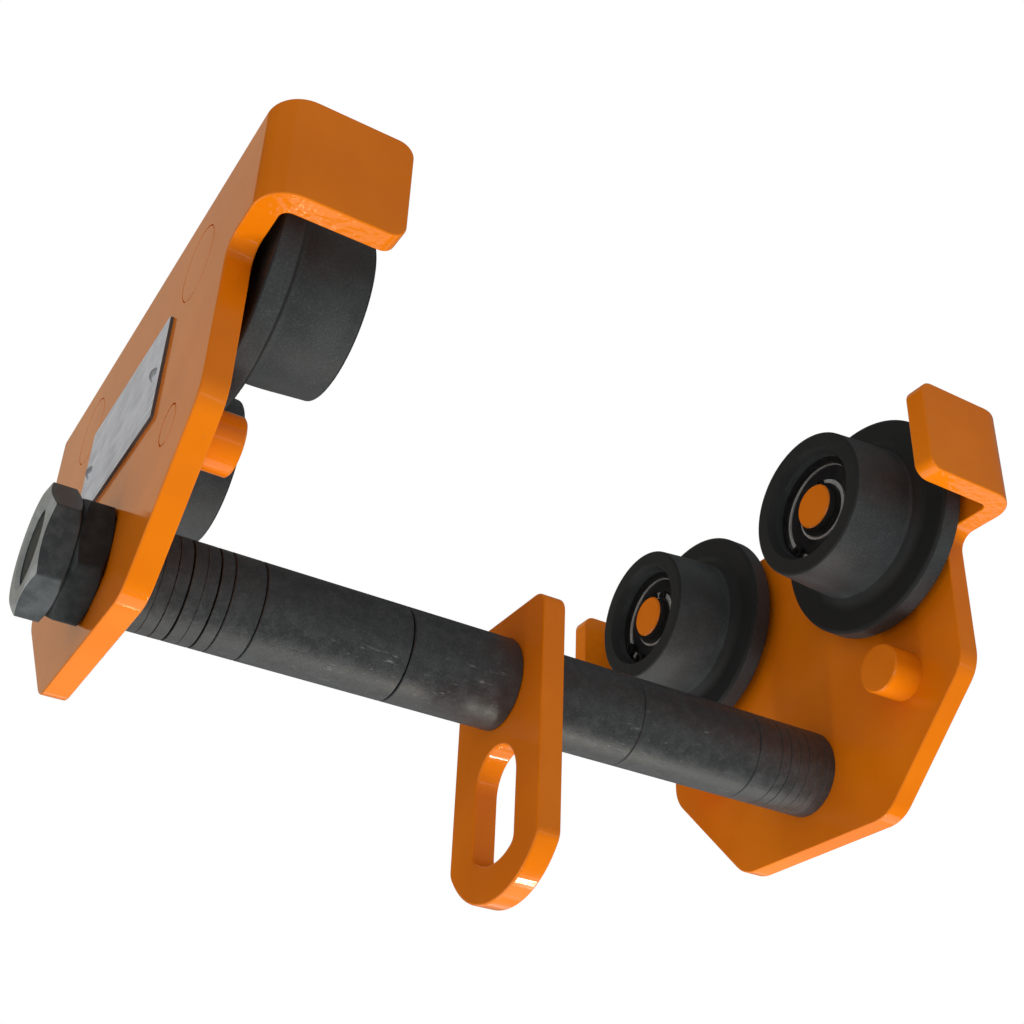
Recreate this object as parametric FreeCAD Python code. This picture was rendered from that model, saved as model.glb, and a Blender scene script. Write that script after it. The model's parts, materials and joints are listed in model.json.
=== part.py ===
import FreeCAD, Part
import math
import os

from FreeCAD import Vector

# A manual beam trolley: two folded side plates, four flanged wheels on ball bearings, and a load
# shaft whose loose spacers set the width and carry a swinging hook plate.
# Millimetres. X runs along the load shaft, Y along the beam, Z up. The origin is the middle of the
# running plane, where the wheel treads stand on the beam's lower flange.

# The beam that the spacers are set for
beam_width = 240.0
side_play = 1.7  # from the beam's edge to each wheel flange
wheelbase = 104.4

# Wheels
tread_radius = 29.0
tread_fall = 1.4  # how much smaller the crowned tread ends
tread_level = 10.0  # from the flange to where the crown starts to fall
tread_crown_round = 120.0
tread_end_round = 1.2
flange_radius = 42.0
flange_thickness = 8.0
flange_front_round = 1.6
flange_back_round = 1.2
flange_root_round = 5.0
wheel_width = 35.2
wheel_stand_off = 2.8  # from the side plate to the wheel's back
wheel_back_hole = 34.0
hub_mouth_depth = 3.0  # of the bevel that leads the bearing in
hub_mouth_rise = 1.6
hub_mouth_round = 0.5

# Ball bearings, the 17 x 40 x 12 size
bearing_bore = 17.0
bearing_outside = 40.0
bearing_width = 12.0
bearing_depth = 7.7  # below the wheel's end face
bearing_bevel = 0.6
inner_shoulder = 23.4
outer_shoulder = 32.8
ball_diameter = 6.747
ball_count = 8
ball_play = 0.06
cage_wall = 1.4
cage_side = 0.9  # its metal beside each ball
shield_seat = 35.0
shield_sheet = 0.4
shield_set_back = 0.6
shield_gap = 0.3
seat_play = 0.02  # radial play of what is pressed in

# Circlips in the hubs and on the axles
hub_clip_thickness = 1.75
hub_clip_wall = 3.4
hub_clip_end_wall = 2.4
hub_clip_groove = 1.25
hub_clip_gap = 30.0  # degrees between its two ears
hub_clip_ear = 2.6
hub_clip_eye = 1.25
hub_clip_turns = {"front_left": -130.0, "rear_left": -70.0, "front_right": -58.0, "rear_right": -40.0}
axle_clip_thickness = 1.0
axle_clip_wall = 2.7
axle_clip_end_wall = 1.7
axle_clip_groove = 0.4
axle_clip_gap = 36.0
axle_clip_ear = 1.9
axle_clip_eye = 0.85
axle_clip_turns = {"front_left": -60.0, "rear_left": 80.0, "front_right": 76.0, "rear_right": 108.0}
clip_play = 0.03

# Axles
axle_root_diameter = 25.0
axle_collar_diameter = 22.0
axle_collar_length = 2.2
axle_tip_length = 4.2  # past the bearing
axle_bevel = 0.5

# Side plates
plate_thickness = 8.0
plate_length = 219.0  # over the folded ears
plate_rise = 22.5  # above the axles
plate_waist = 163.0  # below the ears
plate_foot_width = 78.0
plate_foot_drop = 28.3  # below the shaft
plate_slant_height = 42.9
plate_corner_round = 15.0
ear_height = 36.5
ear_reach = 33.5  # inwards from the plate's inner face
ear_corner_round = 5.0
ear_root_round = 6.0
bend_inside_radius = 3.0
plate_edge_round = 0.6

# Load shaft under the running plane
shaft_drop = 50.5
shaft_diameter = 24.0
shaft_bevel = 1.5
shaft_recess = 1.2  # of its ends inside the outer nuts
thread_length = 42.0
thread_relief = 0.1  # the thread's crest under the plain shaft
nut_across_flats = 36.0
nut_height = 9.6
nut_play = 0.1
nut_gap = 0.05
nut_face_ratio = 0.975  # the round face over the flats
nut_bevel_angle = 22.0
nut_bore_bevel = 1.2
nut_corner_round = 1.2
nut_face_round = 0.6
nut_edge_round = 0.4
nut_turns = {"left_inner": -30.0, "left_outer": -13.0, "right_inner": 8.0, "right_outer": 5.0}
plate_hole_play = 0.3

# Spacers on the shaft, listed from the hook plate outwards
spacer_diameter = 32.0
spacer_play = 0.25
spacer_bevel = 0.3
short_sleeve = 40.0
long_sleeve = 50.0
thick_spacer = 10.0
washer_thickness = 4.0
washer_bevel = 0.15
left_joints = (3.0, 2.0, 2.0, 3.0, 0.3, 3.0, 1.0, 0.3, 0.3, 3.0)  # how they share the end play
right_joints = (3.0, 3.0, 0.3, 3.0, 1.0, 2.0, 0.3, 1.0, 0.3)

# Hook plate
hook_plate_shift = 3.25  # towards the right, where the pack has one washer less
hook_plate_thickness = 8.5
hook_plate_width = 55.0
hook_plate_top = 24.8  # above the shaft
hook_plate_bottom = 74.3  # below the shaft
hook_plate_corner_round = 6.0
hook_plate_foot_radius = 32.3
hook_plate_foot_round = 6.0
hook_plate_edge_round = 0.8
hook_plate_play = 0.1
hook_plate_side_play = 0.2
hook_slot_width = 25.4
hook_slot_top = 22.3  # below the shaft
hook_slot_web = 12.4  # metal left under the slot
hook_slot_corner_round = 4.0

# Anti-lift pins
pin_spacing = 108.0
pin_height = 19.2  # above the shaft
pin_diameter = 18.0
pin_length = 12.2
pin_spigot_diameter = 13.0
pin_bevel = 0.6

# Data plate on the left, left bare
label_length = 76.0
label_height = 38.0
label_thickness = 1.0
label_shift = 2.3  # from the middle, towards the rear
label_above_shaft = 51.7
label_corner_round = 1.0
rivet_inset = 6.2
rivet_shank = 2.5
rivet_grip = 4.0
rivet_head = 5.0
rivet_dome = 1.3
rivet_play = 0.03

# What follows from them
inside_gap = beam_width + 2 * (side_play + flange_thickness + wheel_stand_off)
inner_face = inside_gap / 2
outer_face = inner_face + plate_thickness
axle_height = tread_radius
plate_top = axle_height + plate_rise
ear_bottom = plate_top - ear_height
shaft_height = -shaft_drop
plate_bottom = shaft_height - plate_foot_drop
flange_front = wheel_stand_off + flange_thickness
wheel_end = wheel_stand_off + wheel_width
bearing_face = wheel_end - bearing_depth
bearing_back = bearing_face - bearing_width
bearing_middle = bearing_face - bearing_width / 2
pitch_radius = (bearing_bore + bearing_outside) / 4
ball_radius = ball_diameter / 2
thread_radius = shaft_diameter / 2 - thread_relief
nuts_end = outer_face + 2 * (nut_height + nut_gap)
shaft_end = nuts_end - shaft_recess

x_axis = Vector(1, 0, 0)
y_axis = Vector(0, 1, 0)
z_axis = Vector(0, 0, 1)
origin = Vector(0, 0, 0)


def rounded_wire(corners):
    """Closed wire through corners (u, v, radius) in a plane, each with its own rounding."""
    points = [Vector(u, v, 0) for u, v, radius in corners]
    starts, middles, ends = [], [], []
    for i, (u, v, radius) in enumerate(corners):
        here = points[i]
        back = (points[i - 1] - here).normalize()
        ahead = (points[(i + 1) % len(points)] - here).normalize()
        half = back.getAngle(ahead) / 2
        reach = radius / math.tan(half)
        inward = (back + ahead).normalize() if radius else Vector()
        starts.append(here + back * reach)
        ends.append(here + ahead * reach)
        middles.append(here + inward * (radius / math.sin(half) - radius))
    edges = []
    for i, (u, v, radius) in enumerate(corners):
        if radius:
            edges.append(Part.Arc(starts[i], middles[i], ends[i]).toShape())
        following = starts[(i + 1) % len(points)]
        if not ends[i].isEqual(following, 1e-6):
            edges.append(Part.LineSegment(ends[i], following).toShape())
    return Part.Wire(edges)


def turned(corners):
    """Solid of revolution about X from (x, radius, rounding) corners."""
    return Part.Face(rounded_wire(corners)).revolve(origin, x_axis, 360)


def sheet(wire, start, thickness):
    """The wire's (u, v) laid on (Y, Z) at x = start, and given a thickness along X."""
    onto_yz = FreeCAD.Placement(Vector(start, 0, 0), FreeCAD.Rotation(y_axis, z_axis, x_axis))
    wire.Placement = onto_yz
    return Part.Face(wire).extrude(Vector(thickness, 0, 0))


def rod(radius, start, end, y=0.0, z=0.0):
    """Cylinder along X."""
    return Part.makeCylinder(radius, end - start, Vector(start, y, z), x_axis)


def tube(outer_radius, inner_radius, start, end):
    """Plain ring about X."""
    return rod(outer_radius, start, end).cut(rod(inner_radius, start, end))


def bevelled_tube(outer_radius, inner_radius, start, end, bevel):
    """Ring about X with bevelled outer edges."""
    return turned([
        (start, inner_radius, 0),
        (start, outer_radius - bevel, 0),
        (start + bevel, outer_radius, 0),
        (end - bevel, outer_radius, 0),
        (end, outer_radius - bevel, 0),
        (end, inner_radius, 0),
    ])


def polar(radius, angle, x=0.0):
    """Point at an angle from +Y about X."""
    turn = math.radians(angle)
    return Vector(x, radius * math.cos(turn), radius * math.sin(turn))


def round_edges(solid, radius, wanted):
    """Fillet the edges that the test picks."""
    return solid.makeFillet(radius, [edge for edge in solid.Edges if wanted(edge)])


def along(edge, axis):
    """Whether a straight edge runs along an axis."""
    if not isinstance(edge.Curve, Part.Line):
        return False
    return abs(abs(edge.tangentAt(edge.FirstParameter).dot(axis)) - 1) < 1e-6


# The pieces of a corner lie along X from its side plate's inner face towards the middle


def wheel():
    """Flanged wheel with a crowned tread, a bearing seat and a circlip groove."""
    seat = bearing_outside / 2 + seat_play
    groove = bearing_outside / 2 + hub_clip_groove
    groove_end = bearing_face + hub_clip_thickness + 2 * clip_play
    return turned([
        (wheel_stand_off, wheel_back_hole / 2, 0),
        (wheel_stand_off, flange_radius, flange_back_round),
        (flange_front, flange_radius, flange_front_round),
        (flange_front, tread_radius, flange_root_round),
        (flange_front + tread_level, tread_radius, tread_crown_round),
        (wheel_end, tread_radius - tread_fall, tread_end_round),
        (wheel_end, seat + hub_mouth_rise, hub_mouth_round),
        (wheel_end - hub_mouth_depth, seat, 0),
        (groove_end, seat, 0),
        (groove_end, groove, 0),
        (bearing_face, groove, 0),
        (bearing_face, seat, 0),
        (bearing_back, seat, 0),
        (bearing_back, wheel_back_hole / 2, 0),
    ])


def axle():
    """Stepped stub: root in the plate, shoulder, bearing journal with a groove, bevelled tip."""
    journal = bearing_bore / 2 - seat_play
    groove = bearing_bore / 2 - axle_clip_groove
    groove_end = bearing_face + axle_clip_thickness + 2 * clip_play
    collar_start = bearing_back - axle_collar_length
    tip = bearing_face + axle_tip_length
    return turned([
        (-plate_thickness, 0, 0),
        (-plate_thickness, axle_root_diameter / 2 - axle_bevel, 0),
        (axle_bevel - plate_thickness, axle_root_diameter / 2, 0),
        (collar_start, axle_root_diameter / 2, 0),
        (collar_start, axle_collar_diameter / 2, 0),
        (bearing_back, axle_collar_diameter / 2, 0),
        (bearing_back, journal, 0),
        (bearing_face, journal, 0),
        (bearing_face, groove, 0),
        (groove_end, groove, 0),
        (groove_end, journal, 0),
        (tip - axle_bevel, journal, 0),
        (tip, journal - axle_bevel, 0),
        (tip, 0, 0),
    ])


def race_groove():
    """Ring-shaped space that the balls run in."""
    return Part.makeTorus(pitch_radius, ball_radius + ball_play, Vector(bearing_middle, 0, 0), x_axis)


def outer_ring():
    """Bearing's outer ring, with a seat for a shield at each side."""
    shield_depth = shield_set_back + shield_sheet
    ring = turned([
        (bearing_back, shield_seat / 2, 0),
        (bearing_back, bearing_outside / 2, bearing_bevel),
        (bearing_face, bearing_outside / 2, bearing_bevel),
        (bearing_face, shield_seat / 2, 0),
        (bearing_face - shield_depth, shield_seat / 2, 0),
        (bearing_face - shield_depth, outer_shoulder / 2, 0),
        (bearing_back + shield_depth, outer_shoulder / 2, 0),
        (bearing_back + shield_depth, shield_seat / 2, 0),
    ])
    return ring.cut(race_groove())


def inner_ring():
    """Bearing's inner ring."""
    ring = turned([
        (bearing_back, bearing_bore / 2, bearing_bevel),
        (bearing_back, inner_shoulder / 2, 0),
        (bearing_face, inner_shoulder / 2, 0),
        (bearing_face, bearing_bore / 2, bearing_bevel),
    ])
    return ring.cut(race_groove())


def balls():
    """The bearing's balls, as separate solids."""
    turns = [360 * i / ball_count for i in range(ball_count)]
    return Part.makeCompound([
        Part.makeSphere(ball_radius, polar(pitch_radius, turn, bearing_middle)) for turn in turns
    ])


def cage():
    """Ring with a round pocket for each ball."""
    inner = pitch_radius - cage_wall / 2
    outer = pitch_radius + cage_wall / 2
    half_width = ball_radius + cage_side
    ring = tube(outer, inner, bearing_middle - half_width, bearing_middle + half_width)
    pocket_start = inner - cage_wall
    for i in range(ball_count):
        turn = 360 * i / ball_count
        start = polar(pocket_start, turn, bearing_middle)
        pocket = Part.makeCylinder(ball_radius + ball_play, 3 * cage_wall, start, polar(1, turn))
        ring = ring.cut(pocket)
    return ring


def shields():
    """The two sheet rings that close the bearing."""
    inner = inner_shoulder / 2 + shield_gap
    outer = shield_seat / 2 - seat_play
    front = bearing_face - shield_set_back
    back = bearing_back + shield_set_back
    return Part.makeCompound([
        tube(outer, inner, front - shield_sheet, front),
        tube(outer, inner, back, back + shield_sheet),
    ])


def wedge(reach, gap, start, end):
    """Solid wedge about +Y, used to open a circlip."""
    points = [Vector(start, 0, 0), polar(reach, -gap / 2, start), polar(reach, gap / 2, start)]
    return Part.Face(Part.makePolygon(points + points[:1])).extrude(Vector(end - start, 0, 0))


def add_ears(ring, place, ear, eye, gap, start, end):
    """Round ears with eyes, at the ring's two free ends."""
    centres = [polar(place, turn) for turn in (-gap / 2, gap / 2)]
    for centre in centres:
        ring = ring.fuse(rod(ear, start, end, centre.y, centre.z))
    for centre in centres:
        ring = ring.cut(rod(eye, start, end, centre.y, centre.z))
    return ring


def hub_clip():
    """Circlip that springs outwards into the hub's groove, its ears inside."""
    start = bearing_face + clip_play
    end = start + hub_clip_thickness
    outer = bearing_outside / 2 + hub_clip_groove - clip_play
    inner = outer - (hub_clip_wall + hub_clip_end_wall) / 2
    shift = (hub_clip_wall - hub_clip_end_wall) / 2
    ring = rod(outer, start, end).cut(rod(inner, start, end, shift))
    ring = ring.cut(wedge(2 * outer, hub_clip_gap, start, end))
    ring = add_ears(ring, inner, hub_clip_ear, hub_clip_eye, hub_clip_gap, start, end)
    return ring.removeSplitter()


def axle_clip():
    """Circlip that grips the axle's groove, its ears outside."""
    start = bearing_face + clip_play
    end = start + axle_clip_thickness
    inner = bearing_bore / 2 - axle_clip_groove + clip_play
    outer = inner + (axle_clip_wall + axle_clip_end_wall) / 2
    shift = (axle_clip_wall - axle_clip_end_wall) / 2
    ring = rod(outer, start, end, -shift).cut(wedge(2 * outer, axle_clip_gap, start, end))
    ring = add_ears(ring, outer, axle_clip_ear, axle_clip_eye, axle_clip_gap, start, end)
    return ring.cut(rod(inner, start, end)).removeSplitter()


def pin():
    """Anti-lift pin: a stop inside the plate and a spigot through it."""
    spigot = pin_spigot_diameter / 2
    return turned([
        (-plate_thickness, 0, 0),
        (-plate_thickness, spigot - pin_bevel, 0),
        (pin_bevel - plate_thickness, spigot, 0),
        (0, spigot, 0),
        (0, pin_diameter / 2, 0),
        (pin_length - pin_bevel, pin_diameter / 2, 0),
        (pin_length, pin_diameter / 2 - pin_bevel, 0),
        (pin_length, 0, 0),
    ])


# The side plates and what spans between them


def side_plate(side):
    """Thick sheet with folded ears, on the left for side -1 and on the right for side 1."""
    half_length = plate_length / 2
    half_waist = plate_waist / 2
    half_foot = plate_foot_width / 2
    slant_top = plate_bottom + plate_slant_height
    reach = ear_reach + plate_thickness
    outline = rounded_wire([
        (-half_length, plate_top, 0),
        (-half_length, ear_bottom, 0),
        (-half_waist, ear_bottom, ear_root_round),
        (-half_waist, slant_top, plate_corner_round),
        (-half_foot, plate_bottom, plate_corner_round),
        (half_foot, plate_bottom, plate_corner_round),
        (half_waist, slant_top, plate_corner_round),
        (half_waist, ear_bottom, ear_root_round),
        (half_length, ear_bottom, 0),
        (half_length, plate_top, 0),
    ])
    blank = sheet(outline, outer_face - reach, reach)
    inside = half_length - plate_thickness
    bend = bend_inside_radius + plate_thickness
    folded = rounded_wire([
        (outer_face - reach, -half_length, 0),
        (outer_face, -half_length, bend),
        (outer_face, half_length, bend),
        (outer_face - reach, half_length, 0),
        (outer_face - reach, inside, 0),
        (inner_face, inside, bend_inside_radius),
        (inner_face, -inside, bend_inside_radius),
        (outer_face - reach, -inside, 0),
    ])
    folded.translate(Vector(0, 0, plate_bottom))
    channel = Part.Face(folded).extrude(Vector(0, 0, plate_top - plate_bottom))
    plate = blank.common(channel)
    ear_end = outer_face - reach
    plate = round_edges(plate, ear_corner_round, lambda edge: along(edge, y_axis) and is_at(edge, ear_end))
    plate = plate.makeFillet(plate_edge_round, plate.Edges)
    for y in (-wheelbase / 2, wheelbase / 2):
        plate = plate.cut(rod(axle_root_diameter / 2 + seat_play, inner_face, outer_face, y, axle_height))
    for y in (-pin_spacing / 2, pin_spacing / 2):
        height = shaft_height + pin_height
        plate = plate.cut(rod(pin_spigot_diameter / 2 + seat_play, inner_face, outer_face, y, height))
    shaft_hole = shaft_diameter / 2 + plate_hole_play
    plate = plate.cut(rod(shaft_hole, inner_face, outer_face, 0, shaft_height))
    if side < 0:
        plate = turned_about_z(plate)
        for y in rivet_places():
            hole_end = rivet_grip - label_thickness - outer_face
            plate = plate.cut(rod(rivet_shank / 2 + rivet_play, -outer_face, hole_end, y, label_middle()))
    return plate


def is_at(edge, x):
    """Whether an edge's middle has this x."""
    return abs(edge.CenterOfMass.x - x) < 1e-6


def turned_about_z(shape):
    """The shape turned half round about Z."""
    return shape.rotated(origin, z_axis, 180)


def label_middle():
    """Height of the data plate's middle."""
    return shaft_height + label_above_shaft


def rivet_places():
    """Where the two rivets sit along the beam."""
    reach = label_length / 2 - rivet_inset
    return [label_shift - reach, label_shift + reach]


def data_plate():
    """Thin bare plate on the left side plate."""
    left = label_shift - label_length / 2
    right = label_shift + label_length / 2
    bottom = label_middle() - label_height / 2
    top = label_middle() + label_height / 2
    corners = [(left, bottom), (right, bottom), (right, top), (left, top)]
    outline = rounded_wire([(y, z, label_corner_round) for y, z in corners])
    face = -outer_face - label_thickness
    plate = sheet(outline, face, label_thickness)
    for y in rivet_places():
        plate = plate.cut(rod(rivet_shank / 2 + rivet_play, face, -outer_face, y, label_middle()))
    return plate


def rivets():
    """Two round-headed rivets through the data plate."""
    face = -outer_face - label_thickness
    head = rivet_head / 2
    dome_radius = (head ** 2 + rivet_dome ** 2) / (2 * rivet_dome)
    dome = Part.makeSphere(dome_radius, Vector(face - rivet_dome + dome_radius, 0, 0))
    rivet = dome.common(rod(head, face - rivet_dome, face))
    rivet = rivet.fuse(rod(rivet_shank / 2, face, face + rivet_grip - rivet_play))
    return Part.makeCompound([
        rivet.translated(Vector(0, y, label_middle())) for y in rivet_places()
    ])


def load_shaft():
    """Round bar with turned-down threaded ends."""
    thread_start = shaft_end - thread_length
    half = [
        (thread_start, shaft_diameter / 2, 0),
        (thread_start, thread_radius, 0),
        (shaft_end - shaft_bevel, thread_radius, 0),
        (shaft_end, thread_radius - shaft_bevel, 0),
        (shaft_end, 0, 0),
    ]
    mirrored = [(-x, radius, rounding) for x, radius, rounding in reversed(half)]
    return turned(mirrored + half).translated(Vector(0, 0, shaft_height))


def nut(turn):
    """Thin hexagon nut about X from x = 0, with bevelled corners on both faces."""
    corner = nut_across_flats / math.sqrt(3)
    points = [polar(corner, turn + 60 * i) for i in range(6)]
    hexagon = sheet(rounded_wire([(point.y, point.z, nut_corner_round) for point in points]), 0, nut_height)
    face_radius = nut_face_ratio * nut_across_flats / 2
    rise = (corner - face_radius) * math.tan(math.radians(nut_bevel_angle))
    bore = thread_radius + nut_play
    rounder = turned([
        (0, bore + nut_bore_bevel, 0),
        (0, face_radius, nut_face_round),
        (rise, corner, 0),
        (nut_height - rise, corner, 0),
        (nut_height, face_radius, nut_face_round),
        (nut_height, bore + nut_bore_bevel, 0),
        (nut_height - nut_bore_bevel, bore, 0),
        (nut_bore_bevel, bore, 0),
    ])
    body = hexagon.common(rounder)
    body = round_edges(body, nut_edge_round, lambda edge: is_outside(edge, nut_across_flats / 2))
    return body.translated(Vector(0, 0, shaft_height))


def is_outside(edge, radius):
    """Whether an edge round the X axis stays outside this radius, ends apart."""
    middle = edge.CenterOfMass
    return not along(edge, x_axis) and math.hypot(middle.y, middle.z) > radius - 1e-6


def spacer(length, bevel, near, side):
    """Sleeve or washer on the shaft, its near end this far from the middle."""
    bore = shaft_diameter / 2 + spacer_play
    start = near if side > 0 else -near - length
    ring = bevelled_tube(spacer_diameter / 2, bore, start, start + length, bevel)
    return ring.translated(Vector(0, 0, shaft_height))


def spacer_pack(room):
    """Sleeves and number of washers that fill the room, and the play that is left."""
    left_over = room - hook_plate_side_play
    sleeves = {"short_sleeve": short_sleeve, "long_sleeve": long_sleeve, "thick_spacer": thick_spacer}
    fitting = {}
    for name, length in sleeves.items():
        if length < left_over:
            fitting[name] = length
            left_over -= length
    washers = int(left_over // washer_thickness)
    return fitting, washers, left_over - washers * washer_thickness


def shared(play, parts, count):
    """The play cut into this many gaps in the given parts, which start again where they run out."""
    cut = [parts[i % len(parts)] for i in range(count)]
    return [play * part / sum(cut) for part in cut]


def spacers(side):
    """One side's sleeves by name, and its washers as separate solids."""
    hook_face = side * hook_plate_shift + hook_plate_thickness / 2
    sleeves, washers, play = spacer_pack(inner_face - hook_face)
    gaps = shared(play, left_joints if side < 0 else right_joints, len(sleeves) + washers)
    pieces = {}
    place = hook_face + hook_plate_side_play
    for name, length in sleeves.items():
        pieces[name] = spacer(length, spacer_bevel, place, side)
        place += length + gaps.pop(0)
    pack = []
    for gap in gaps:
        pack.append(spacer(washer_thickness, washer_bevel, place, side))
        place += washer_thickness + gap
    pieces["washers"] = Part.makeCompound(pack)
    return pieces


def hook_plate():
    """Hanging plate with a shaft bore and a long slot, arced about one centre at the foot."""
    start = hook_plate_shift - hook_plate_thickness / 2
    half_width = hook_plate_width / 2
    foot = shaft_height - hook_plate_bottom
    foot_centre = foot + hook_plate_foot_radius
    low = foot_centre - math.sqrt(hook_plate_foot_radius ** 2 - half_width ** 2)
    top = shaft_height + hook_plate_top
    outline = Part.Wire([
        Part.LineSegment(Vector(half_width, low), Vector(half_width, top)).toShape(),
        Part.LineSegment(Vector(half_width, top), Vector(-half_width, top)).toShape(),
        Part.LineSegment(Vector(-half_width, top), Vector(-half_width, low)).toShape(),
        Part.Arc(Vector(-half_width, low), Vector(0, foot), Vector(half_width, low)).toShape(),
    ])
    plate = sheet(outline, start, hook_plate_thickness)
    plate = round_edges(plate, hook_plate_corner_round, lambda edge: is_corner(edge, top))
    plate = round_edges(plate, hook_plate_foot_round, lambda edge: is_corner(edge, low))
    plate = plate.cut(hook_slot(start, foot_centre))
    plate = round_edges(plate, hook_plate_edge_round, lambda edge: not along(edge, x_axis))
    bore = shaft_diameter / 2 + hook_plate_play
    return plate.cut(rod(bore, start, start + hook_plate_thickness, 0, shaft_height))


def hook_slot(start, foot_centre):
    """The slot's space: round at the top, flatter at the bottom."""
    half_width = hook_slot_width / 2
    radius = foot_centre - (shaft_height - hook_plate_bottom) - hook_slot_web
    bottom = foot_centre - radius
    low = foot_centre - math.sqrt(radius ** 2 - half_width ** 2)
    top = shaft_height - hook_slot_top
    high = top - half_width
    outline = Part.Wire([
        Part.LineSegment(Vector(half_width, low), Vector(half_width, high)).toShape(),
        Part.Arc(Vector(half_width, high), Vector(0, top), Vector(-half_width, high)).toShape(),
        Part.LineSegment(Vector(-half_width, high), Vector(-half_width, low)).toShape(),
        Part.Arc(Vector(-half_width, low), Vector(0, bottom), Vector(half_width, low)).toShape(),
    ])
    slot = sheet(outline, start, hook_plate_thickness)
    return round_edges(slot, hook_slot_corner_round, lambda edge: is_corner(edge, low))


def is_corner(edge, height):
    """Whether an edge along X stands at this height."""
    return along(edge, x_axis) and abs(edge.CenterOfMass.z - height) < 1e-6


# The whole trolley


def at_corner(shape, end, side):
    """A corner piece moved to its axle or pin: end -1 is the front, side -1 the left."""
    if side > 0:
        shape = turned_about_z(shape)
    return shape.translated(Vector(side * inner_face, end * wheelbase / 2, axle_height))


def corner_pieces(end, side, name):
    """The wheel, axle and bearing pieces of one corner, and its anti-lift pin."""
    pieces = {
        "wheel": wheel(),
        "axle": axle(),
        "bearing_outer_ring": outer_ring(),
        "bearing_inner_ring": inner_ring(),
        "bearing_balls": balls(),
        "bearing_cage": cage(),
        "bearing_shields": shields(),
        "hub_circlip": turned_clip(hub_clip(), hub_clip_turns[name], side),
        "axle_circlip": turned_clip(axle_clip(), axle_clip_turns[name], side),
    }
    placed = {piece: at_corner(shape, end, side) for piece, shape in pieces.items()}
    pin_move = Vector(0, end * (pin_spacing - wheelbase) / 2, shaft_height + pin_height - axle_height)
    placed["anti_lift_pin"] = at_corner(pin(), end, side).translated(pin_move)
    return placed


def turned_clip(clip, turn, side):
    """Circlip with its ears at an angle from +Y, seen the same way on both sides."""
    own_turn = turn if side < 0 else 180 - turn
    return clip.rotated(origin, x_axis, own_turn)


def nuts():
    """Two nuts locked together outside each plate."""
    inner = outer_face + nut_gap
    outer = inner + nut_height + nut_gap
    starts = {"left_inner": -inner - nut_height, "left_outer": -outer - nut_height}
    starts.update({"right_inner": inner, "right_outer": outer})
    return {name: nut(nut_turns[name]).translated(Vector(start, 0, 0)) for name, start in starts.items()}


def trolley():
    """Every piece by name."""
    pieces = {"load_shaft": load_shaft(), "hook_plate": hook_plate()}
    for side, side_name in ((-1, "left"), (1, "right")):
        pieces[side_name + "_side_plate"] = side_plate(side)
        for end, end_name in ((-1, "front"), (1, "rear")):
            name = end_name + "_" + side_name
            for piece, shape in corner_pieces(end, side, name).items():
                pieces[name + "_" + piece] = shape
        for piece, shape in spacers(side).items():
            pieces[side_name + "_" + piece] = shape
    for name, shape in nuts().items():
        pieces[name + "_nut"] = shape
    pieces["data_plate"] = data_plate()
    pieces["data_plate_rivets"] = rivets()
    return pieces


os.makedirs("parts", exist_ok=True)
for piece_name, piece_shape in trolley().items():
    piece_shape.exportStep("parts/" + piece_name + ".step")
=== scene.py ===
import math

import bpy
from mathutils import Euler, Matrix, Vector
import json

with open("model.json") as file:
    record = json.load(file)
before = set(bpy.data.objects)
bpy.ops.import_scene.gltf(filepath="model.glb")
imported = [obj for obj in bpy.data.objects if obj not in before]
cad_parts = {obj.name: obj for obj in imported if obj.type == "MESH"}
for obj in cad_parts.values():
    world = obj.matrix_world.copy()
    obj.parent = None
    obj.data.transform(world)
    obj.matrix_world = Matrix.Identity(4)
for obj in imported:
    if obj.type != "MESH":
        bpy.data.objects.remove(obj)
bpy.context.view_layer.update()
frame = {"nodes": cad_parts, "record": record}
nodes = frame["nodes"]

# Measures in metres, angles in degrees, colours in linear light


class Sock:
    # A node's output that can be used in sums and products

    def __init__(self, graph, output):
        self.graph = graph
        self.output = output

    def maths(self, operation, other=None, flipped=False):
        values = [other, self] if flipped else [self, other]
        inputs = {i: value for i, value in enumerate(values) if value is not None}
        return self.graph.add("ShaderNodeMath", {"operation": operation}, inputs)

    def __add__(self, other):
        return self.maths("ADD", other)

    def __radd__(self, other):
        return self.maths("ADD", other, True)

    def __sub__(self, other):
        return self.maths("SUBTRACT", other)

    def __rsub__(self, other):
        return self.maths("SUBTRACT", other, True)

    def __mul__(self, other):
        return self.maths("MULTIPLY", other)

    def __rmul__(self, other):
        return self.maths("MULTIPLY", other, True)

    def __abs__(self):
        return self.maths("ABSOLUTE")

    def atLeast(self, other):
        return self.maths("MAXIMUM", other)

    def rise(self, low, high):
        # 0 at low and before, 1 at high and past it, smooth between
        settings = {"interpolation_type": "SMOOTHSTEP"}
        inputs = {"Value": self, "From Min": low, "From Max": high, "To Min": 0.0, "To Max": 1.0}
        return self.graph.add("ShaderNodeMapRange", settings, inputs)


class Graph:
    # A node tree that is filled from Python

    def __init__(self, tree):
        self.tree = tree

    def add(self, kind, settings=None, inputs=None, output=0):
        node = self.tree.nodes.new(kind)
        for key, value in (settings or {}).items():
            setattr(node, key, value)
        for key, value in (inputs or {}).items():
            self.feed(node.inputs[key], value)
        return Sock(self, node.outputs[output]) if node.outputs else None

    def feed(self, socket, value):
        if isinstance(value, Sock):
            self.tree.links.new(value.output, socket)
        elif isinstance(value, tuple) and len(value) == 3 and socket.type == "RGBA":
            socket.default_value = (*value, 1.0)
        else:
            socket.default_value = value


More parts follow.
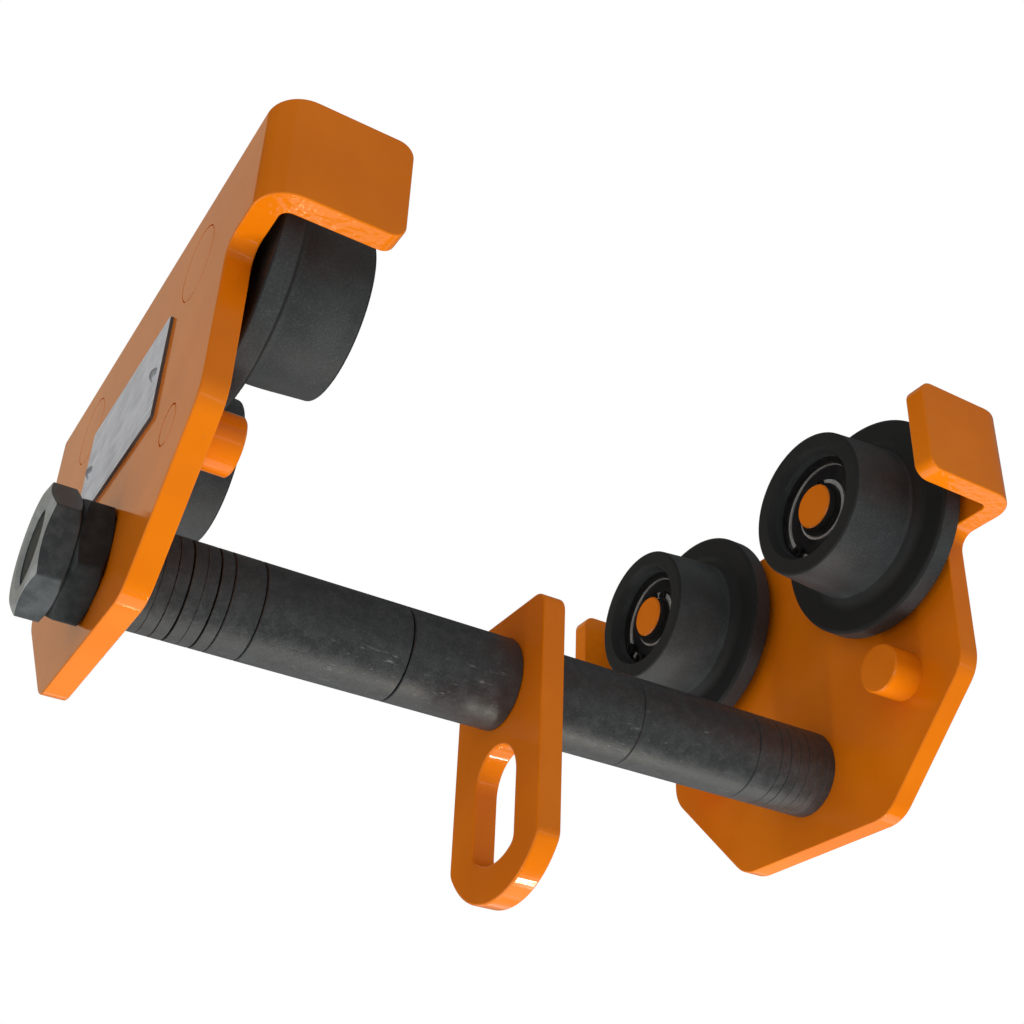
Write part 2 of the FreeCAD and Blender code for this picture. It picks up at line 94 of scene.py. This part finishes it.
class Finish(Graph):
    # A material, its Principled shader and the patterns that feed it

    def __init__(self, name, **surface):
        self.material = bpy.data.materials.new(name)
        self.material.use_nodes = True
        super().__init__(self.material.node_tree)
        self.shader = self.tree.nodes["Principled BSDF"]
        self.place = self.add("ShaderNodeTexCoord", {}, {}, "Object")
        self.set(**surface)

    def set(self, **surface):
        for key, value in surface.items():
            self.feed(self.shader.inputs[key.replace("_", " ")], value)

    def part(self, vector, axis):
        return self.add("ShaderNodeSeparateXYZ", {}, {0: vector}, axis)

    def normalAlong(self, axis):
        return self.part(self.add("ShaderNodeNewGeometry", {}, {}, "Normal"), axis)

    def facing(self, axis):
        # How squarely the surface looks along an axis, either way
        return abs(self.normalAlong(axis))

    def stretched(self, scale):
        return self.add("ShaderNodeMapping", {}, {"Vector": self.place, "Scale": scale})

    def noise(self, size, detail=2.0, rough=0.5, place=None, warp=0.0):
        inputs = {"Vector": place or self.place, "Scale": 1.0 / size, "Detail": detail}
        inputs.update({"Roughness": rough, "Distortion": warp})
        return self.add("ShaderNodeTexNoise", {}, inputs)

    def spots(self, size, detail, rough, low, high, place=None, warp=0.0):
        # Noise with a soft threshold: 0 between the spots, 1 on them
        return self.noise(size, detail, rough, place, warp).rise(low, high)

    def mix(self, mask, low, high):
        inputs = {"Factor": mask, 6: low, 7: high}
        return self.add("ShaderNodeMix", {"data_type": "RGBA"}, inputs, 2)

    def bump(self, height, depth, under=None):
        inputs = {"Height": height, "Distance": depth}
        if under is not None:
            inputs["Normal"] = under
        return self.add("ShaderNodeBump", {}, inputs)


# In the looks below, a row of spots is size, detail, roughness, and the noise where
# the spots start and where they are whole. A range is where a mask starts and is whole
orangePaint = {
    "colour": (0.78, 0.195, 0.003),
    "deepColour": (0.70, 0.165, 0.002),
    "cloudSpots": (0.045, 3.0, 0.5, 0.35, 0.70),
    "dustColour": (0.30, 0.11, 0.03),
    "dustShare": 0.6,
    "dustSpots": (0.0014, 2.0, 0.5, 0.74, 0.80),
    "dustyPlaces": (0.05, 2.0, 0.5, 0.48, 0.65),
    "specular": 0.5,
    "roughness": 0.09,
    "smearRoughness": 0.08,
    "smearSpots": (0.02, 4.0, 0.6, 0.30, 0.80),
    "dustRoughness": 0.3,
    "peelSize": 0.0016,
    "peelDepth": 0.000008,
    "waveSize": 0.009,
    "waveDepth": 0.00004,
    "sidewaysRange": (0.3, 0.6),
    "earRange": (0.084, 0.092),  # along the beam, from the middle
    "lumpSize": 0.003,
    "lumpDepth": 0.0002,
    "cutSize": 0.0011,
    "cutStretch": (0.03, 1.0, 1.0),
    "bareSteel": (0.035, 0.034, 0.032),
    "bareRoughness": 0.2,
}


def makePaint(name, cutDepth=0.00002, bareSides=False):
    # Glossy powder coat. Where a face doesn't look along X it lies over lines left by
    # the cutter, with lumps at the ears, or the steel is bare. Those are the cut edges,
    # but the ears' broad end faces look that way too, and get the lines and lumps as well
    look = orangePaint
    finish = Finish(name, Specular_IOR_Level=look["specular"])
    cloud = finish.spots(*look["cloudSpots"])
    colour = finish.mix(cloud, look["deepColour"], look["colour"])
    dust = finish.spots(*look["dustSpots"]) * finish.spots(*look["dustyPlaces"])
    colour = finish.mix(dust * look["dustShare"], colour, look["dustColour"])
    smear = finish.spots(*look["smearSpots"])
    roughness = look["roughness"] + smear * look["smearRoughness"] + dust * look["dustRoughness"]
    sideways = 1.0 - finish.facing("X").rise(*look["sidewaysRange"])
    normal = finish.bump(finish.noise(look["peelSize"], 1.0), look["peelDepth"])
    normal = finish.bump(finish.noise(look["waveSize"], 1.0), look["waveDepth"], normal)
    ears = abs(finish.part(finish.place, "Y")).rise(*look["earRange"])
    lumps = finish.noise(look["lumpSize"], 1.0) * ears * sideways
    normal = finish.bump(lumps, look["lumpDepth"], normal)
    cut = finish.noise(look["cutSize"], 1.0, 0.5, finish.stretched(look["cutStretch"]))
    normal = finish.bump(cut * sideways, cutDepth, normal)
    if bareSides:
        colour = finish.mix(sideways, colour, look["bareSteel"])
        roughness = roughness + sideways * look["bareRoughness"]
    finish.set(Base_Color=colour, Roughness=roughness, Normal=normal)
    return finish.material


wheelBlack = {
    "colour": (0.033, 0.0365, 0.0375),
    "paleColour": (0.075, 0.082, 0.084),
    "endFaceColour": (0.014, 0.0155, 0.015),
    "endFaceShare": 0.85,
    "endFaceRange": (0.3, 0.45),
    "specular": 0.35,
    "roughness": 0.48,
    "patchRoughness": 0.12,
    "patchSpots": (0.012, 4.0, 0.6, 0.35, 0.75),
    "patchShare": 0.3,
    "grainSize": 0.0006,
    "grainDepth": 0.00005,
    "grainRange": (0.45, 0.75),
    "grainShare": 0.5,
}


def makeWheelBlack():
    # Blackened casting, darker on its end faces
    look = wheelBlack
    finish = Finish("wheelBlack", Specular_IOR_Level=look["specular"])
    grain = finish.noise(look["grainSize"], 3.0, 0.6)
    patch = finish.spots(*look["patchSpots"])
    pale = patch * look["patchShare"] + grain.rise(*look["grainRange"]) * look["grainShare"]
    colour = finish.mix(pale, look["colour"], look["paleColour"])
    endFaces = finish.facing("X").rise(*look["endFaceRange"]) * look["endFaceShare"]
    colour = finish.mix(endFaces, colour, look["endFaceColour"])
    roughness = look["roughness"] + patch * look["patchRoughness"]
    normal = finish.bump(grain, look["grainDepth"])
    finish.set(Base_Color=colour, Roughness=roughness, Normal=normal)
    return finish.material


sleeveBlack = {
    "colour": (0.025, 0.028, 0.029),
    "midColour": (0.064, 0.070, 0.072),
    "paleColour": (0.160, 0.172, 0.174),
    "specular": 0.7,
    "roughness": 0.38,
    "patchRoughness": 0.12,
    "patchSpots": (0.004, 5.0, 0.65, 0.38, 0.68),
    "patchShare": 0.35,
    "patchHeight": 0.5,
    "grainSize": 0.0006,
    "grainDepth": 0.00007,
    "grainRange": (0.45, 0.75),
    "grainShare": 0.55,
    "scuffSpots": (0.0010, 3.0, 0.6, 0.62, 0.74),
    "scuffStretch": (0.22, 1.0, 1.0),
    "scuffWarp": 0.3,
    "scuffedPlaces": (0.018, 2.0, 0.5, 0.48, 0.68),
    "scuffShare": 0.8,
    "scuffPolish": 0.10,
}


def makeSleeveBlack():
    # Blackened tube: mottled scale, fine grain and pale scuffs along it
    look = sleeveBlack
    finish = Finish("sleeveBlack", Specular_IOR_Level=look["specular"])
    patch = finish.spots(*look["patchSpots"])
    grain = finish.noise(look["grainSize"], 3.0, 0.65)
    along = finish.stretched(look["scuffStretch"])
    scuff = finish.spots(*look["scuffSpots"], along, look["scuffWarp"])
    scuff = scuff * finish.spots(*look["scuffedPlaces"])
    mottle = patch * look["patchShare"] + grain.rise(*look["grainRange"]) * look["grainShare"]
    colour = finish.mix(mottle, look["colour"], look["midColour"])
    colour = finish.mix(scuff * look["scuffShare"], colour, look["paleColour"])
    roughness = look["roughness"] + patch * look["patchRoughness"] - scuff * look["scuffPolish"]
    normal = finish.bump(grain + patch * look["patchHeight"], look["grainDepth"])
    finish.set(Base_Color=colour, Roughness=roughness, Normal=normal)
    return finish.material


nutBlack = {
    "colour": (0.0130, 0.0160, 0.0170),
    "paleColour": (0.038, 0.043, 0.044),
    "specular": 0.3,
    "roughness": 0.34,
    "patchRoughness": 0.1,
    "patchSpots": (0.006, 4.0, 0.6, 0.35, 0.70),
    "patchShare": 0.6,
    "grainSize": 0.0006,
    "grainDepth": 0.00002,
    "grainRange": (0.5, 0.8),
    "grainShare": 0.2,
    # The pale colour below is a painted reflection on the faces that look outwards
    "endFaceColour": (0.40, 0.412, 0.394),
    "endFaceRange": (0.085, 0.12),  # from the middle, where a face looks straight outwards
    "endFaceShare": (0.7, 0.3),  # everywhere, and on the patches too
}


def makeNutBlack(name, tone, paintedReflection):
    # Blackened nut: clouded flats, and a painted reflection that makes the faces looking outwards
    # paler
    look = nutBlack
    finish = Finish(name, Specular_IOR_Level=look["specular"])
    dark, pale = (tuple(tone * c for c in look[key]) for key in ("colour", "paleColour"))
    patch = finish.spots(*look["patchSpots"])
    grain = finish.noise(look["grainSize"], 2.0)
    cloud = patch * look["patchShare"] + grain.rise(*look["grainRange"]) * look["grainShare"]
    colour = finish.mix(cloud, dark, pale)
    # Painted reflection: the faces that look outwards are made pale, more so on the patches
    outward = finish.normalAlong("X") * finish.part(finish.place, "X")
    endFaces = outward.rise(*look["endFaceRange"]) * paintedReflection
    whole, patchy = look["endFaceShare"]
    colour = finish.mix(endFaces * (whole + patch * patchy), colour, look["endFaceColour"])
    roughness = look["roughness"] + patch * look["patchRoughness"]
    normal = finish.bump(grain, look["grainDepth"])
    finish.set(Base_Color=colour, Roughness=roughness, Normal=normal)
    return finish.material


plateSilver = {
    "colour": (0.92, 0.93, 0.975),
    "darkColour": (0.50, 0.51, 0.545),
    # A painted shadow colour for the narrow edge faces
    "edgeShadeColour": (0.11, 0.10, 0.095),
    "edgeShadeRange": (0.5, 0.8),
    "metallic": 0.2,
    "roughness": 0.36,
    "streakRoughness": 0.12,
    "streakSize": 0.0004,
    "streakDepth": 0.00001,
    "streakStretch": (1.0, 0.02, 1.0),
    "streakRange": (0.35, 0.7),
    "streakShare": 0.6,
    "cloudSpots": (0.010, 4.0, 0.6, 0.35, 0.70),
    "cloudShare": 0.35,
}


def makePlateSilver():
    # Brushed sheet, the streaks run along its length, and its narrow edge faces carry a painted
    # shadow
    look = plateSilver
    finish = Finish("plateSilver", Metallic=look["metallic"])
    streak = finish.noise(look["streakSize"], 3.0, 0.6, finish.stretched(look["streakStretch"]))
    cloud = finish.spots(*look["cloudSpots"])
    dark = streak.rise(*look["streakRange"]) * look["streakShare"] + cloud * look["cloudShare"]
    colour = finish.mix(dark, look["colour"], look["darkColour"])
    # Painted shadow: the narrow faces that don't look along X are made dark
    edgeShade = 1.0 - finish.facing("X").rise(*look["edgeShadeRange"])
    colour = finish.mix(edgeShade, colour, look["edgeShadeColour"])
    roughness = look["roughness"] + streak * look["streakRoughness"]
    normal = finish.bump(streak, look["streakDepth"])
    finish.set(Base_Color=colour, Roughness=roughness, Normal=normal)
    return finish.material


smoothSteel = {
    "smearSpots": (0.004, 3.0, 0.6, 0.30, 0.70),
    "smearRoughness": 0.12,
    "fineSize": 0.0003,
    "fineDepth": 0.000003,
}
# bright and dark colour, roughness and metallic share of each smooth steel
steels = {
    "bearingSteel": ((0.62, 0.62, 0.59), (0.46, 0.46, 0.44), 0.24, 0.3),
    "shieldSteel": ((0.012, 0.012, 0.013), (0.022, 0.022, 0.022), 0.35, 0.0),
    "springSteel": ((0.030, 0.030, 0.030), (0.018, 0.018, 0.018), 0.30, 0.5),
    "rivetSteel": ((0.62, 0.62, 0.65), (0.36, 0.36, 0.38), 0.25, 0.5),
}


def makeSteel(name):
    # Smooth steel with soft smears
    look = smoothSteel
    bright, dark, roughness, metallic = steels[name]
    finish = Finish(name, Metallic=metallic)
    smear = finish.spots(*look["smearSpots"])
    colour = finish.mix(smear, bright, dark)
    normal = finish.bump(finish.noise(look["fineSize"], 2.0), look["fineDepth"])
    roughness = roughness + smear * look["smearRoughness"]
    finish.set(Base_Color=colour, Roughness=roughness, Normal=normal)
    return finish.material


finishes = {
    "orange_paint": makePaint("orangePaint"),
    "wheel_steel": makeWheelBlack(),
    "black_steel": makeSleeveBlack(),
    "bearing_steel": makeSteel("bearingSteel"),
    "shield_steel": makeSteel("shieldSteel"),
    "spring_steel": makeSteel("springSteel"),
    "bare_metal": makePlateSilver(),
}
# The pieces whose finish differs from the rest of their slot
ownFinishes = {
    # The outer nut wears a lighter copy of the inner nut's finish: its higher tone is painted sheen
    # for the light it catches from below
    "_inner_nut": makeNutBlack("nutBlack", tone=0.9, paintedReflection=0.12),
    "_outer_nut": makeNutBlack("nutPaintedLighter", tone=2.4, paintedReflection=1.0),
    "_axle": makePaint("axlePaint", cutDepth=0.00001, bareSides=True),
    "hook_plate": makePaint("hookPaint", cutDepth=0.00006),
    "_rivets": makeSteel("rivetSteel"),
}
print("finishes made")

trueEdges = {"mergeWithin": 0.000001, "sharpFrom": 27.0, "flatWeight": 60}


def makeEdgeTree():
    # Joins loose triangles, and keeps an edge sharp only where its faces
    # meet at more than an angle
    tree = bpy.data.node_groups.new("trueEdges", "GeometryNodeTree")
    for way in ("INPUT", "OUTPUT"):
        tree.interface.new_socket("Geometry", in_out=way, socket_type="NodeSocketGeometry")
    limit = math.radians(trueEdges["sharpFrom"])
    sizes = {"Within": trueEdges["mergeWithin"], "Sharp From": limit}
    settings = {}
    for label, size in sizes.items():
        socket = tree.interface.new_socket(label, in_out="INPUT", socket_type="NodeSocketFloat")
        settings[socket.identifier] = size
    graph = Graph(tree)
    labels = ("Geometry", "Within", "Sharp From")
    whole, within, sharpFrom = (graph.add("NodeGroupInput", {}, {}, label) for label in labels)
    inputs = {"Geometry": whole, "Distance": within}
    joined = graph.add("GeometryNodeMergeByDistance", {}, inputs)
    smooth = graph.add("GeometryNodeSetShadeSmooth", {}, {"Geometry": joined})
    bend = graph.add("GeometryNodeInputMeshEdgeAngle", {}, {}, "Unsigned Angle")
    inputs = {0: bend, 1: sharpFrom}
    steep = graph.add("FunctionNodeCompare", {"operation": "GREATER_THAN"}, inputs)
    inputs = {"Geometry": smooth, "Selection": steep, "Shade Smooth": False}
    sharp = graph.add("GeometryNodeSetShadeSmooth", {"domain": "EDGE"}, inputs)
    graph.add("NodeGroupOutput", {}, {0: sharp})
    return tree, settings


edgeTree, edgeSettings = makeEdgeTree()


def dressNode(name, material):
    # The node keeps its mesh, modifiers only mend how its surface shades
    piece = nodes[name]
    edges = piece.modifiers.new("trueEdges", "NODES")
    edges.node_group = edgeTree
    for identifier, value in edgeSettings.items():
        edges[identifier] = value
    flats = piece.modifiers.new("flatFaces", "WEIGHTED_NORMAL")
    flats.mode = "FACE_AREA"
    flats.weight = trueEdges["flatWeight"]
    flats.keep_sharp = True
    piece.data.materials.clear()
    piece.data.materials.append(material)


for part in frame["record"]["subparts"]:
    own = [finish for ending, finish in ownFinishes.items() if part["node"].endswith(ending)]
    dressNode(part["node"], own[0] if own else finishes[part["material_slot"]])
print("nodes dressed")

camera = {
    "place": (-0.2209, -0.3903, -0.2635),
    "turn": (122.19, -2.19, -30.98),
    "lens": 51.52,
    "sensor": 36.0,
}
# The seen colour and the glow are for what the camera sees
floor = {
    "height": -1.18,
    "size": 40.0,
    "colour": (0.80, 0.80, 0.80),
    "seenColour": (0.97, 0.97, 0.97),
    "glow": (0.27, 0.27, 0.27),
    "roughness": 0.9,
}
# The first lights the part, the second is what the camera sees
worlds = (
    {"Color": (1.0, 1.0, 1.0), "Strength": 0.72},
    {"Color": (1.0, 1.0, 1.0), "Strength": 1.0},
)
# place, aim, width, depth, power in watts and colour of each lamp,
# and whether it shows in reflections
lamps = {
    "under": ((0.15, 0.0, -1.14), (0.15, 0.0, 0.0), 1.2, 0.2, 11.0, (1.0, 1.0, 1.0), False),
    "spot": ((0.51, 0.23, -1.09), (0.0, 0.0, -0.06), 0.12, 0.12, 1.8, (1.0, 0.93, 0.80), True),
    "glint": ((0.215, 1.12, -1.15), (-0.13, -0.09, 0.03), 0.04, 0.04, 0.13, (1.0, 0.85, 0.5), True),
    "aboveRear": ((0.5, 0.9, 1.1), (0.0, 0.0, 0.0), 1.4, 1.4, 4.0, (1.0, 1.0, 1.0), False),
}
# middle, aim, width, height, colour and strength of each card, seen only in reflections
cards = {
    "rearLeftCard": ((-1.1, 0.95, 0.5), (0.0, 0.0, 0.0), 1.7, 2.2, (1.0, 1.0, 1.0), 0.02),
    "rearCard": ((-0.14, 1.3, 0.85), (0.0, 0.0, 0.0), 0.90, 1.7, (1.0, 0.93, 0.70), 0.36),
    "frontCard": ((0.3, -1.4, 0.6), (0.0, 0.0, 0.0), 3.2, 2.4, (1.0, 1.0, 1.0), 0.16),
    "topCard": ((0.0, 0.0, 1.8), (0.0, 0.0, 0.0), 4.4, 4.4, (1.0, 1.0, 1.0), 0.06),
    "leftCard": ((-2.2, 0.0, 0.6), (0.0, 0.0, 0.6), 4.4, 2.4, (1.0, 1.0, 1.0), 0.08),
    "rightCard": ((2.2, 0.0, 0.6), (0.0, 0.0, 0.6), 4.4, 2.4, (1.0, 1.0, 1.0), 0.14),
    "backCard": ((0.0, 2.2, 0.6), (0.0, 0.0, 0.6), 4.4, 2.4, (1.0, 1.0, 1.0), 0.18),
    "nearCard": ((0.0, -2.2, 0.6), (0.0, 0.0, 0.6), 4.4, 2.4, (1.0, 1.0, 1.0), 0.14),
    "lowCard": ((0.67, -1.52, -1.16), (0.67, -1.52, 0.0), 4.9, 3.5, (1.0, 1.0, 1.0), 0.03),
    "farLowCard": ((0.76, 2.09, -1.16), (0.76, 2.09, 0.0), 4.6, 1.9, (1.0, 0.95, 0.85), 0.25),
    "paleCard": ((0.70, 0.65, -1.12), (0.70, 0.65, 0.0), 0.80, 0.65, (1.0, 0.95, 0.82), 0.85),
}
black = (0.0, 0.0, 0.0)


def place(thing, where, aim):
    thing.location = where
    thing.rotation_euler = (Vector(aim) - Vector(where)).to_track_quat("-Z", "Y").to_euler()
    bpy.context.scene.collection.objects.link(thing)


def makeCamera():
    data = bpy.data.cameras.new("camera")
    data.lens = camera["lens"]
    data.sensor_width = camera["sensor"]
    viewer = bpy.data.objects.new("camera", data)
    viewer.location = camera["place"]
    viewer.rotation_euler = Euler([math.radians(angle) for angle in camera["turn"]])
    bpy.context.scene.collection.objects.link(viewer)
    bpy.context.scene.camera = viewer


def makeLamp(name, where, aim, width, depth, power, colour, mirrored):
    data = bpy.data.lights.new(name, "AREA")
    data.shape = "ELLIPSE"
    data.size = width
    data.size_y = depth
    data.energy = power
    data.color = colour
    lamp = bpy.data.objects.new(name, data)
    lamp.visible_camera = False
    lamp.visible_glossy = mirrored
    place(lamp, where, aim)


def makeSheet(name, width, height, material):
    corners = [(-width, -height), (width, -height), (width, height), (-width, height)]
    mesh = bpy.data.meshes.new(name)
    mesh.from_pydata([(x / 2, y / 2, 0.0) for x, y in corners], [], [(0, 1, 2, 3)])
    mesh.materials.append(material)
    sheet = bpy.data.objects.new(name, mesh)
    return sheet


def makeCard(name, where, aim, width, height, colour, strength):
    finish = Finish(name, Base_Color=black, Emission_Color=colour, Emission_Strength=strength)
    card = makeSheet(name, width, height, finish.material)
    for kind in ("camera", "diffuse", "transmission", "shadow", "volume_scatter"):
        setattr(card, "visible_" + kind, False)
    place(card, where, aim)


def seenRays(graph):
    # 1 for what the camera sees, also by way of gloss or glass
    kinds = ("Is Camera Ray", "Is Glossy Ray", "Is Transmission Ray")
    direct, glossy, through = (graph.add("ShaderNodeLightPath", {}, {}, kind) for kind in kinds)
    return direct.atLeast(glossy).atLeast(through)


def makeFloor():
    finish = Finish("floorPaper", Roughness=floor["roughness"], Emission_Strength=1.0)
    seen = seenRays(finish)
    finish.set(Base_Color=finish.mix(seen, floor["colour"], floor["seenColour"]))
    finish.set(Emission_Color=finish.mix(seen, black, floor["glow"]))
    ground = makeSheet("floor", floor["size"], floor["size"], finish.material)
    place(ground, (0.0, 0.0, floor["height"]), (0.0, 0.0, 0.0))


def makeWorld():
    world = bpy.data.worlds.new("studio")
    world.use_nodes = True
    world.node_tree.nodes.clear()
    graph = Graph(world.node_tree)
    lit, shown = (graph.add("ShaderNodeBackground", {}, inputs) for inputs in worlds)
    surface = graph.add("ShaderNodeMixShader", {}, {0: seenRays(graph), 1: lit, 2: shown})
    graph.add("ShaderNodeOutputWorld", {}, {"Surface": surface})
    bpy.context.scene.world = world


makeCamera()
makeWorld()
makeFloor()
for name, settings in lamps.items():
    makeLamp(name, *settings)
for name, settings in cards.items():
    makeCard(name, *settings)
bpy.context.scene.view_settings.view_transform = "Standard"
print("studio ready")
